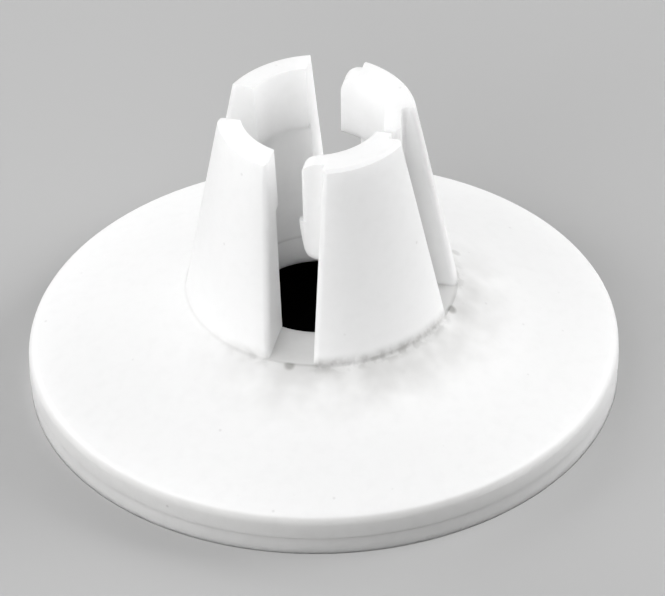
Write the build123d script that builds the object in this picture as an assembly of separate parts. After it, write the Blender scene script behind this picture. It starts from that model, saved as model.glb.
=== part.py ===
from build123d import *
import os

# Hole plug: one white moulding. A dished round flange stands on its rim, and a tapered collar,
# split into four fingers, stands on the middle of the flange with a bore right through.
# Millimetres. +Z is up, the origin is at the middle of the rim's foot, and the collar's slots
# run along X and Y.

# --- Flange ------------------------------------------------------------------------------
flange_radius = 20.0          # outside of the rim
flange_height = 7.7           # from the foot to the flat middle of the flange
flange_wall = 2.2             # thickness of the dome
rim_height = 3.0              # from the foot to the sharp corner that the rim's edge rounds off
rim_wall = 1.9                # thickness of the rim at its foot
rim_edge_radius = 0.8
rim_draft = 0.25              # the inside of the rim opens by this much towards the foot
rim_inner_chamfer = 0.6       # between the inside of the rim and the underside of the dome
parting_height = 1.25         # height of the parting line on the rim's side
parting_step = 0.1            # the side stands back by this much under the parting line
dome_bulge = 0.27             # how far the dome stands above a straight cone, halfway

# --- Collar ------------------------------------------------------------------------------
collar_height = 14.45         # from the middle of the flange to the finger tips
collar_base_radius = 9.2
collar_tip_radius = 6.7
collar_root_fillet = 0.3
tip_chamfer = 0.2             # on the outer edges of the finger tips
bore_radius = 5.45            # straight hole through the flange
bore_draft = 0.1              # the hole closes by this much through the collar, up to the ridge

# --- Lead-in: the narrower top of the bore, which ends below in a sharp ridge ----------------
lead_depth = 4.8              # from the finger tips down to the ridge
lead_tip_radius = 4.9
lead_ridge_radius = 4.6
lead_offset = 0.3             # its axis lies this far to -X of the collar's

# --- Slots ---------------------------------------------------------------------------------
slot_root_width = 3.0         # at the flange
slot_tip_width = 3.7          # at the finger tips
slot_edge_rounding = 0.35     # quarter round on the upright outer edges of the fingers

# --- Lips: a thin inner skin of the two +X fingers reaches out into the slots beside them ------
lip_outer_radius = 6.0        # about the lead-in's axis
lip_end_rounding = 0.35
lip_root = 0.5                # how deep a lip is rooted in its finger
lip_root_fillet = 0.4         # between a side lip and the wall of its slot
front_lip_gap = 0.28          # from the middle of the -Y slot to the end of its lip
front_lip_corner = 0.9        # rounding of that end at the finger tips
front_lip_tail = 3.2          # the front lip runs on under the ridge for this length
front_tail_slant = 0.3        # and its end draws back by this much on the way
front_tail_bulge = 0.23       # but stands out by this much right under the ridge
front_tail_rounding = 1.2     # of its lower corner
back_lip_gap = 0.5            # from the middle of the +Y slot to the end of its lip
back_lip_corner = 1.7         # rounding of its end at the finger tips
long_side_lip_reach = 0.85    # the back finger's lip in the +X slot passes the middle by this much
long_side_lip_bend = 11.5     # degrees short of the middle at which it turns from round to flat
short_side_lip_gap = 1.1      # from that middle to the end of the front finger's lip
side_lip_corner = 0.25

CUTTER_REACH = 1.0            # how far a cutter passes what it cuts
CUTTER_OVERLAP = 0.05         # how far one cut runs into the next

collar_top = flange_height + collar_height
ridge_height = collar_top - lead_depth
lip_root_edge = slot_tip_width / 2 + lip_root
LIP_REACH = lip_outer_radius + lead_offset + CUTTER_REACH
LIP_INSIDE = lead_ridge_radius - CUTTER_REACH      # the lead-in then cuts the lips' inner faces


def dome_area():
    """Half section of all that lies under the dome's line."""
    middle = (0, flange_height)
    hub = (collar_base_radius, flange_height)
    corner = (flange_radius, rim_height)
    dome = SagittaArc(hub, corner, -dome_bulge)
    return make_face([
        Line((0, 0), middle), Line(middle, hub), dome,
        Line(corner, (flange_radius, 0)), Line((flange_radius, 0), (0, 0)),
    ])


def hollow_area():
    """Half section of the hollow under the flange: flat in the middle, then sloping to the rim."""
    ceiling = flange_height - flange_wall
    foot = flange_radius - rim_wall
    eave = foot - rim_draft
    slope = (flange_height - rim_height) / (flange_radius - collar_base_radius)
    eave_height = ceiling - slope * (eave - collar_base_radius)
    hollow = make_face(Polyline(
        (0, 0), (foot, 0), (eave, eave_height), (collar_base_radius, ceiling), (0, ceiling),
        close=True))
    return chamfer(corner_at(hollow, eave, eave_height), rim_inner_chamfer)


def collar_area():
    """Half section of the collar's outer cone, filled in."""
    foot = flange_height - flange_wall
    return make_face(Polyline(
        (0, foot), (collar_base_radius, foot), (collar_base_radius, flange_height),
        (collar_tip_radius, collar_top), (0, collar_top), close=True))


def parting_area():
    """Half section of the strip that is missing from the side under the parting line."""
    inside = flange_radius - parting_step
    outside = flange_radius + CUTTER_REACH
    return make_face(Polyline(
        (inside, 0), (outside, 0), (outside, parting_height + parting_step),
        (flange_radius, parting_height + parting_step), (inside, parting_height), close=True))


def corner_at(section, x, y):
    """The corner of a section that lies nearest a point."""
    return section.vertices().sort_by_distance((x, y, 0))[0]


def moulding_blank():
    """Flange and collar as one turned form, with neither bore nor slots."""
    section = dome_area() + collar_area()
    section = fillet(corner_at(section, flange_radius, rim_height), rim_edge_radius)
    section = fillet(corner_at(section, collar_base_radius, flange_height), collar_root_fillet)
    section = chamfer(corner_at(section, collar_tip_radius, collar_top), tip_chamfer)
    section -= hollow_area()
    section -= parting_area()
    return revolve(Plane.XZ * section, Axis.Z)


def slot_plan(width, collar_radius):
    """Plan of one slot, from the axis out along +Y, with a quarter round on each outer edge."""
    half = width / 2
    mouth = half + slot_edge_rounding
    mouth_start = (collar_radius ** 2 - mouth ** 2) ** 0.5
    reach = collar_base_radius + collar_root_fillet + CUTTER_REACH
    plan = Rectangle(width, reach, align=(Align.CENTER, Align.MIN))
    plan += Pos(0, mouth_start) * Rectangle(
        2 * (mouth + CUTTER_OVERLAP), reach - mouth_start, align=(Align.CENTER, Align.MIN))
    shoulders = [corner_at(plan, side * half, mouth_start) for side in (-1, 1)]
    return fillet(shoulders, slot_edge_rounding)


def slot_cutter():
    """One slot, wider at the finger tips than at the flange."""
    rise = 1 + CUTTER_REACH / collar_height
    width = slot_root_width + (slot_tip_width - slot_root_width) * rise
    radius = collar_base_radius + (collar_tip_radius - collar_base_radius) * rise
    root = Pos(0, 0, flange_height) * slot_plan(slot_root_width, collar_base_radius)
    above = Pos(0, 0, flange_height + rise * collar_height) * slot_plan(width, radius)
    return loft([root, above], ruled=True)


def bore_cutter():
    """The hole through the flange, the bore in the collar and, above the ridge, the lead-in."""
    foot = flange_height - flange_wall - CUTTER_REACH
    hole = Pos(0, 0, foot) * extrude(Circle(bore_radius), flange_height - foot)
    bore = Pos(0, 0, flange_height) * Cone(
        bore_radius, bore_radius - bore_draft, ridge_height - flange_height,
        align=(Align.CENTER, Align.CENTER, Align.MIN))
    taper = (lead_tip_radius - lead_ridge_radius) / lead_depth
    mouth = lead_depth + CUTTER_REACH
    lead = Cone(lead_ridge_radius, lead_ridge_radius + taper * mouth, mouth,
                align=(Align.CENTER, Align.CENTER, Align.MIN))
    return hole + bore + Pos(-lead_offset, 0, ridge_height) * lead


def lip_strip(bend):
    """Plan of a lip about the lead-in's axis: round, or round up to the bend and flat past it."""
    ring = Circle(lip_outer_radius) - Circle(LIP_INSIDE)
    if not bend:
        return ring
    ring &= Rectangle(LIP_REACH, 2 * LIP_REACH, align=(Align.MIN, Align.CENTER))
    flat = Pos(0, -LIP_INSIDE) * Rectangle(
        LIP_REACH, lip_outer_radius - LIP_INSIDE, align=(Align.MAX, Align.MAX))
    return Rot(Z=bend) * (ring + flat)


def lip_plan(gap, centre, root_fillet, bend):
    """Plan of a lip in the -Y slot: a strip with a rounded end, rooted in its finger."""
    ring = Pos(*centre) * lip_strip(bend)
    strip = Pos(gap, 0) * Rectangle(lip_root_edge - gap, LIP_REACH, align=(Align.MIN, Align.MAX))
    plan = ring & strip
    plan = fillet(plan.vertices().group_by(Axis.X)[0], lip_end_rounding)
    if root_fillet:
        wall = slot_tip_width / 2
        plan += Pos(wall, 0) * Rectangle(lip_root, LIP_REACH, align=(Align.MIN, Align.MAX)) - (
            Pos(*centre) * Circle(LIP_INSIDE))
        outside = (lip_outer_radius ** 2 - (wall - centre[0]) ** 2) ** 0.5
        plan = fillet(corner_at(plan, wall, centre[1] - outside), root_fillet)
        plan &= Circle(collar_tip_radius - lip_root)
    return plan


def lip(gap, corner_radius, centre=(-lead_offset, 0), root_fillet=0, bend=0):
    """A lip in the -Y slot, from the finger tips down to the ridge."""
    side = make_face(Polyline(
        (lip_root_edge, ridge_height), (gap, ridge_height), (gap, collar_top),
        (lip_root_edge, collar_top), close=True))
    side = fillet(corner_at(side, gap, collar_top), corner_radius)
    plan = lip_plan(gap, centre, root_fillet, bend)
    blank = Pos(0, 0, ridge_height) * extrude(plan, lead_depth)
    return blank & extrude(Plane.XZ * side, LIP_REACH)


def front_tail():
    """The front lip's tail under the ridge, which the bore then trims on its inside."""
    foot = ridge_height - front_lip_tail
    reach = front_lip_gap - front_tail_bulge
    side = make_face(Polyline(
        (lip_root_edge, foot), (front_lip_gap + front_tail_slant, foot),
        (reach, ridge_height - front_tail_bulge), (reach, ridge_height),
        (lip_root_edge, ridge_height), close=True))
    lower_corner = corner_at(side, front_lip_gap + front_tail_slant, foot)
    side = fillet(lower_corner, front_tail_rounding)
    plan = lip_plan(reach, (-lead_offset, 0), 0, 0)
    blank = Pos(0, 0, foot) * extrude(plan, front_lip_tail)
    return blank & extrude(Plane.XZ * side, LIP_REACH)


def flat_inside_cutter(centre):
    """What the flat part of the long side lip leaves open: the lead-in, run on past the bend."""
    taper = (lead_tip_radius - lead_ridge_radius) / lead_depth
    mouth = lead_depth + CUTTER_REACH
    low = Rectangle(LIP_REACH, lead_ridge_radius, align=(Align.MAX, Align.MAX))
    high = Rectangle(LIP_REACH, lead_ridge_radius + taper * mouth, align=(Align.MAX, Align.MAX))
    cutter = loft([low, Pos(0, 0, mouth) * high], ruled=True)
    return Pos(*centre, ridge_height) * Rot(Z=long_side_lip_bend) * cutter


def lips():
    """The four lips: one in the -Y slot, one in the +Y slot and two in the +X slot."""
    front = lip(front_lip_gap, front_lip_corner) + front_tail()
    back = mirror(lip(back_lip_gap, back_lip_corner), Plane.XZ)
    centre = (0, lead_offset)
    long_side = lip(-long_side_lip_reach, side_lip_corner, centre=centre,
                    root_fillet=lip_root_fillet, bend=long_side_lip_bend)
    long_side -= flat_inside_cutter(centre)
    short_side = lip(short_side_lip_gap, side_lip_corner, centre=centre)
    return [front, back, Rot(Z=90) * long_side, mirror(Rot(Z=90) * short_side, Plane.XZ)]


def fingers(body):
    """Cut the four slots, which leaves the collar's four fingers."""
    for turn in range(4):
        body -= Rot(Z=90 * turn) * slot_cutter()
    return body


def plug_body():
    """The whole plug."""
    body = fingers(moulding_blank())
    for one in lips():
        body += one
    return body - bore_cutter()


def main():
    os.makedirs("parts", exist_ok=True)
    export_step(plug_body(), "parts/plug_body.step")


main()
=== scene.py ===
"""Looks of the hole plug: white moulded plastic on a plain pale floor in soft studio light."""

import math

import bpy
from mathutils import Matrix, Vector

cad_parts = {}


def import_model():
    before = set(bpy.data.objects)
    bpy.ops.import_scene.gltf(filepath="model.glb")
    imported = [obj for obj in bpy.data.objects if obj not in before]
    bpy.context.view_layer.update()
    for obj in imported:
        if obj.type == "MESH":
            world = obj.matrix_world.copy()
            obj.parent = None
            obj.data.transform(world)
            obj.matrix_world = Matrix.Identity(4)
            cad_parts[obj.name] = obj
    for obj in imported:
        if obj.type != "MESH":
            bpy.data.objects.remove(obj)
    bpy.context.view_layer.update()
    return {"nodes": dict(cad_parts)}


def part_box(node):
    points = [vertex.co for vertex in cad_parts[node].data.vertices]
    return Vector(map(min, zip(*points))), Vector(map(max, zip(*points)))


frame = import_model()

PLUG = frame["nodes"]["plug_body"]
MM = 0.001

# --- Camera: a long lens from the front, a little to the right and well above ---------------
CAMERA_AZIMUTH = 14.4
CAMERA_ELEVATION = 37.2
CAMERA_ROLL = 1.7                # the plug's axis leans to the left by this much
CAMERA_DISTANCE = 1.5            # metres
CAMERA_SENSOR = 36.0             # millimetres, as Blender gives it
CAMERA_CLIP = (0.1, 50)          # metres
IMAGE_WIDTH = 665
PIXELS_PER_METRE = 14730.0       # at the middle of the rim's foot
AIM_RIGHT = 0.543 * MM           # the aim point, from the middle of the rim's foot
AIM_UP = 5.146 * MM

# --- Colours (linear) -----------------------------------------------------------------------
PLASTIC_WHITE = (0.95, 0.95, 0.948, 1)
# darkens the white, both for painted shade and for real mottle, specks and pits
DIRT_AND_SHADE_COLOUR = (0.34, 0.335, 0.325, 1)
FLOOR_GREY = 0.52
FLOOR_BOUNCE = 0.07
# painted shadow: the colour of the dark patch seen through the bore
SHADOW_PATCH_BLACK = 0.004
AMBIENT_LEVEL = 0.02

# --- Floor and lights, in metres ------------------------------------------------------------
FLOOR_RADIUS = 3.0
FLOOR_HEIGHT = -0.02 * MM        # just under the foot
SHADOW_PATCH_RADIUS = 14 * MM      # painted shadow: the dark patch seen through the bore
SHADOW_PATCH_HEIGHT = 0.4 * MM
DISC_SIDES = 96
LIGHT_DISTANCE = 0.6
LIGHT_RADIUS = 0.3

# --- The plastic's skin: heights and radii in millimetres about the plug's axis -----------------
GLOW_DEPTH = 1.5 * MM            # how far light soaks into the plastic, in metres
ROUGHNESS = 0.42
ROUGHNESS_SPREAD = 0.16
FINE_BUMP = 0.006                # millimetres
BROAD_BUMP = 0.02
ROOT_RADIUS = 9.2                # of the collar, where it meets the flange
ROOT_HEIGHT = 7.7
SLOT_HALF_WIDTH = 1.5            # at the flange
RIM_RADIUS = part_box("plug_body")[1].x / MM
ROOT_SHADE_AND_PITS_BEARING = -38         # the side of the collar's root with the most painted shade and pits, in degrees from +X
RIM_SHADE_BEARING = -82          # the side of the rim that gets the most painted shade
HALO_WIDTH = 5.0
LINE_WIDTH = 0.7
PIT_BAND_WIDTH = 2.2
ROOT_HALO_SHADE = 0.5                 # painted shade: a soft band round the root
ROOT_CREASE_SHADE = 0.22                # painted shade: a broken dark line in the angle itself
SLOT_FLOOR_SHADE = 0.24                # painted shade on the floors of the slots
RIM_FRONT_SHADE = 0.4                  # painted shade on the front of the rim's side
MOTTLE_GRIME = 0.03
SPECK_GRIME = 0.2
SPECKS_PER_MM = 0.8              # cells, of which some hold a speck
SPECK_SIZE = 0.12                # as a part of a cell
SPECK_SHARE_FROM = 0.75          # cells whose random value is under this have none
PIT_GRIME = 0.6                  # larger dots, only near the root
PITS_PER_MM = 0.6
PIT_SIZE = 0.3
PIT_SHARE_FROM = 0.3


def sockets(node, **values):
    """Set a node's input sockets by name, with underscores for spaces."""
    for name, value in values.items():
        node.inputs[name.replace("_", " ")].default_value = value
    return node


def new_material(name):
    """A node material with only its output, and its tree."""
    material = bpy.data.materials.new(name)
    material.use_nodes = True
    tree = material.node_tree
    tree.nodes.clear()
    return material, tree, tree.nodes.new("ShaderNodeOutputMaterial")


def wire(tree, value, socket):
    """Feed a socket from a number, a tuple or another node's output."""
    if isinstance(value, (int, float, tuple)):
        socket.default_value = value
    else:
        tree.links.new(value, socket)


def maths(tree, operation, *values):
    node = tree.nodes.new("ShaderNodeMath")
    node.operation = operation
    for value, socket in zip(values, node.inputs):
        wire(tree, value, socket)
    return node.outputs[0]


def vectors(tree, operation, *values, result="Vector"):
    node = tree.nodes.new("ShaderNodeVectorMath")
    node.operation = operation
    for value, socket in zip(values, node.inputs):
        wire(tree, value, socket)
    return node.outputs[result]


def ramp(tree, value, none_at, full_at):
    """0 on the far side of none_at, 1 beyond full_at, and smooth between them."""
    node = tree.nodes.new("ShaderNodeMapRange")
    node.interpolation_type = "SMOOTHSTEP"
    wire(tree, value, node.inputs["Value"])
    sockets(node, From_Min=none_at, From_Max=full_at)
    return node.outputs["Result"]


def product(tree, *factors):
    total = factors[0]
    for factor in factors[1:]:
        total = maths(tree, "MULTIPLY", total, factor)
    return total


def total_of(tree, *terms):
    total = terms[0]
    for term in terms[1:]:
        total = maths(tree, "ADD", total, term)
    return total


def noise(tree, point, per_mm, detail=2.0):
    node = tree.nodes.new("ShaderNodeTexNoise")
    wire(tree, point, node.inputs["Vector"])
    sockets(node, Scale=per_mm, Detail=detail)
    return node.outputs["Fac"]


def specks(tree, point, per_mm, size, share_from):
    """Small dark dots: the middles of some of the cells of a cell pattern."""
    node = tree.nodes.new("ShaderNodeTexVoronoi")
    wire(tree, point, node.inputs["Vector"])
    sockets(node, Scale=per_mm)
    random = vectors(tree, "DOT_PRODUCT", node.outputs["Color"], (1, 0, 0), result="Value")
    chosen = ramp(tree, random, share_from, share_from + 0.2)
    return product(tree, ramp(tree, node.outputs["Distance"], size, size / 3), chosen)


def facing(tree, point, radius, bearing):
    """1 on the side of the plug that looks this way, in degrees from +X, and 0 well round from it."""
    way = (math.cos(math.radians(bearing)), math.sin(math.radians(bearing)), 0)
    lean = vectors(tree, "DOT_PRODUCT", point, way, result="Value")
    return ramp(tree, maths(tree, "DIVIDE", lean, radius), -0.3, 0.95)


def dirt_and_shade(tree, point, radius, height):
    """How dark each spot is made, from 0 to 1: painted shade round the root of the collar, on its
    slots' floors and on the rim's front, with real mottle, pits and specks.
    """
    side = facing(tree, point, radius, ROOT_SHADE_AND_PITS_BEARING)
    low = ramp(tree, height, ROOT_HEIGHT + 0.9, ROOT_HEIGHT + 0.1)
    clouds = ramp(tree, noise(tree, point, 0.35), 0.1, 0.75)
    outside = ramp(tree, radius, ROOT_RADIUS - 0.3, ROOT_RADIUS)
    sides = [maths(tree, "ABSOLUTE", vectors(tree, "DOT_PRODUCT", point, way, result="Value"))
             for way in ((1, 0, 0), (0, 1, 0))]
    fingers = ramp(tree, maths(tree, "MINIMUM", *sides), SLOT_HALF_WIDTH - 0.2,
                   SLOT_HALF_WIDTH + 0.3)
    # Painted shade: a soft dark band round the collar's root, strongest on one side.
    halo = product(tree, ramp(tree, radius, ROOT_RADIUS + HALO_WIDTH, ROOT_RADIUS), outside, low, side,
                   clouds, ROOT_HALO_SHADE)
    # Painted shade: a broken dark line in the angle where the collar meets the flange.
    line = product(tree, ramp(tree, radius, ROOT_RADIUS + LINE_WIDTH, ROOT_RADIUS + 0.1), outside, low,
                   side, fingers, ramp(tree, noise(tree, point, 1.5), 0.42, 0.62), ROOT_CREASE_SHADE)
    # Painted shade: the floors of the slots are darkened.
    slot = product(tree, ramp(tree, radius, ROOT_RADIUS + 0.3, ROOT_RADIUS - 0.3),
                   ramp(tree, height, ROOT_HEIGHT + 0.25, ROOT_HEIGHT),
                   ramp(tree, height, ROOT_HEIGHT - 0.1, ROOT_HEIGHT - 0.02), SLOT_FLOOR_SHADE)
    # Painted shade: the rim's side is darkened on one side, most at the front.
    rim = product(tree, ramp(tree, radius, RIM_RADIUS - 0.3, RIM_RADIUS - 0.1),
                  facing(tree, point, radius, RIM_SHADE_BEARING), RIM_FRONT_SHADE)
    mottle = product(tree, ramp(tree, noise(tree, point, 1.1, 4.0), 0.4, 0.75), MOTTLE_GRIME)
    band = product(tree, ramp(tree, radius, ROOT_RADIUS + PIT_BAND_WIDTH, ROOT_RADIUS + 0.5),
                   outside, low, side)
    pits = product(tree, specks(tree, point, PITS_PER_MM, PIT_SIZE, PIT_SHARE_FROM), band,
                   PIT_GRIME)
    spots = product(tree, specks(tree, point, SPECKS_PER_MM, SPECK_SIZE, SPECK_SHARE_FROM),
                    SPECK_GRIME)
    return maths(tree, "MINIMUM", total_of(tree, halo, line, slot, rim, mottle, pits, spots), 1.0)


def blend(tree, amount, clean, shaded_or_dirty):
    """Mix two colours."""
    node = tree.nodes.new("ShaderNodeMix")
    node.data_type = "RGBA"
    wire(tree, amount, node.inputs["Factor"])
    for value, socket in zip((clean, shaded_or_dirty), [one for one in node.inputs if one.type == "RGBA"]):
        wire(tree, value, socket)
    return next(one for one in node.outputs if one.type == "RGBA")


def surface_bump(tree, point):
    """A faint unevenness of the moulded skin."""
    skin = total_of(tree, product(tree, noise(tree, point, 3.2), FINE_BUMP),
                    product(tree, noise(tree, point, 0.8), BROAD_BUMP))
    node = tree.nodes.new("ShaderNodeBump")
    sockets(node, Strength=1.0, Distance=MM)
    tree.links.new(skin, node.inputs["Height"])
    return node.outputs["Normal"]


def plastic():
    """Milky white moulded plastic with a satin skin: light soaks into it and softens its shade."""
    material, tree, output = new_material("white_plastic")
    metres = tree.nodes.new("ShaderNodeTexCoord").outputs["Object"]
    point = vectors(tree, "SCALE", metres)
    point.node.inputs["Scale"].default_value = 1 / MM
    radius = vectors(tree, "LENGTH", vectors(tree, "MULTIPLY", point, (1, 1, 0)), result="Value")
    height = vectors(tree, "DOT_PRODUCT", point, (0, 0, 1), result="Value")
    # the base colour holds painted shade at the collar's root, the slot floors and the rim's front,
    # besides real mottle, specks and pits
    colour = blend(tree, dirt_and_shade(tree, point, radius, height), PLASTIC_WHITE, DIRT_AND_SHADE_COLOUR)
    shader = tree.nodes.new("ShaderNodeBsdfPrincipled")
    sockets(shader, Subsurface_Weight=1.0, Subsurface_Radius=(1.0, 1.0, 1.0),
            Subsurface_Scale=GLOW_DEPTH)
    tree.links.new(colour, shader.inputs["Base Color"])
    uneven = total_of(tree, product(tree, noise(tree, point, 0.9), ROUGHNESS_SPREAD), ROUGHNESS)
    tree.links.new(uneven, shader.inputs["Roughness"])
    tree.links.new(surface_bump(tree, point), shader.inputs["Normal"])
    tree.links.new(shader.outputs["BSDF"], output.inputs["Surface"])
    return material


def grey_diffuse(tree, level):
    shader = tree.nodes.new("ShaderNodeBsdfDiffuse")
    sockets(shader, Color=(level, level, level, 1))
    return shader.outputs["BSDF"]


def seen(tree):
    """1 for what the camera sees, also in gloss or through glass, and 0 for light that falls."""
    path = tree.nodes.new("ShaderNodeLightPath")
    kinds = [path.outputs["Is " + kind + " Ray"] for kind in ("Camera", "Glossy", "Transmission")]
    return maths(tree, "MAXIMUM", maths(tree, "MAXIMUM", *kinds[:2]), kinds[2])


def floor_material():
    """A pale floor to the eye and in reflections, which throws little light back up at the rim."""
    material, tree, output = new_material("pale_floor")
    mix = tree.nodes.new("ShaderNodeMixShader")
    tree.links.new(seen(tree), mix.inputs[0])
    tree.links.new(grey_diffuse(tree, FLOOR_BOUNCE), mix.inputs[1])
    tree.links.new(grey_diffuse(tree, FLOOR_GREY), mix.inputs[2])
    tree.links.new(mix.outputs["Shader"], output.inputs["Surface"])
    return material


# Painted shadow: a near-black matte for the patch under the bore, standing in for the shade seen
# through it.
def shadow_patch_material():
    material, tree, output = new_material("painted_shadow_patch")
    tree.links.new(grey_diffuse(tree, SHADOW_PATCH_BLACK), output.inputs["Surface"])
    return material


def dress(thing, material):
    thing.data.materials.clear()
    thing.data.materials.append(material)


def disc(name, radius, height):
    """A flat round patch."""
    mesh = bpy.data.meshes.new(name)
    turns = [2 * math.pi * i / DISC_SIDES for i in range(DISC_SIDES)]
    points = [(radius * math.cos(turn), radius * math.sin(turn), height) for turn in turns]
    mesh.from_pydata(points, [], [tuple(range(DISC_SIDES))])
    thing = bpy.data.objects.new(name, mesh)
    bpy.context.collection.objects.link(thing)
    return thing


def direction(azimuth, elevation):
    """From the plug, in degrees: azimuth 0 is towards -Y and 90 towards +X."""
    azimuth, elevation = math.radians(azimuth), math.radians(elevation)
    return Vector((
        math.sin(azimuth) * math.cos(elevation),
        -math.cos(azimuth) * math.cos(elevation),
        math.sin(elevation),
    ))


def camera():
    azimuth = math.radians(CAMERA_AZIMUTH)
    roll = math.radians(-CAMERA_ROLL)
    towards = direction(CAMERA_AZIMUTH, CAMERA_ELEVATION)
    level = Vector((math.cos(azimuth), math.sin(azimuth), 0))
    upright = towards.cross(level)
    right = level * math.cos(roll) + upright * math.sin(roll)
    up = upright * math.cos(roll) - level * math.sin(roll)
    data = bpy.data.cameras.new("camera")
    data.sensor_width = CAMERA_SENSOR
    data.lens = CAMERA_SENSOR * PIXELS_PER_METRE * CAMERA_DISTANCE / IMAGE_WIDTH
    data.clip_start, data.clip_end = CAMERA_CLIP
    thing = bpy.data.objects.new("camera", data)
    bpy.context.collection.objects.link(thing)
    aim = right * AIM_RIGHT + up * AIM_UP
    place = aim + towards * CAMERA_DISTANCE
    turn = Matrix((right, up, towards)).transposed().to_4x4()
    thing.matrix_world = Matrix.Translation(place) @ turn
    bpy.context.scene.camera = thing


def softbox(name, turn, elevation, level):
    """
    A round soft light, turned this many degrees from the camera's azimuth.

    Its level is how white it alone would make a white surface that faces it.
    """
    towards = direction(CAMERA_AZIMUTH + turn, elevation)
    radiance = level * (LIGHT_RADIUS ** 2 + LIGHT_DISTANCE ** 2) / LIGHT_RADIUS ** 2
    data = bpy.data.lights.new(name, "AREA")
    data.shape = "DISK"
    data.size = 2 * LIGHT_RADIUS
    data.energy = radiance * math.pi * math.pi * LIGHT_RADIUS ** 2
    thing = bpy.data.objects.new(name, data)
    bpy.context.collection.objects.link(thing)
    thing.location = towards * LIGHT_DISTANCE
    thing.rotation_euler = towards.to_track_quat("Z", "Y").to_euler()


def world():
    """A faint even light, and a pale backdrop above the floor's edge."""
    background = bpy.data.worlds.new("studio")
    background.use_nodes = True
    tree = background.node_tree
    shade = tree.nodes["Background"]
    sockets(shade, Color=(1, 1, 1, 1))
    strength = tree.nodes.new("ShaderNodeMapRange")
    tree.links.new(seen(tree), strength.inputs["Value"])
    sockets(strength, To_Min=AMBIENT_LEVEL, To_Max=FLOOR_GREY)
    tree.links.new(strength.outputs["Result"], shade.inputs["Strength"])
    bpy.context.scene.world = background


camera()
world()
softbox("front_light", -20, 15, 0.49)
softbox("left_light", -90, 15, 0.45)
softbox("high_left_light", -46, 50, 0.31)
softbox("right_light", 106, 15, 0.84)
softbox("high_right_light", 90, 50, 0.23)
softbox("back_light", -158, 15, 0.42)

dress(PLUG, plastic())
floor = disc("floor", FLOOR_RADIUS, FLOOR_HEIGHT)
dress(floor, floor_material())
# A painted shadow: a dark patch on the floor under the bore.
hole = disc("shadow_patch_disc", SHADOW_PATCH_RADIUS, SHADOW_PATCH_HEIGHT)
dress(hole, shadow_patch_material())

bpy.context.scene.view_settings.view_transform = "Standard"
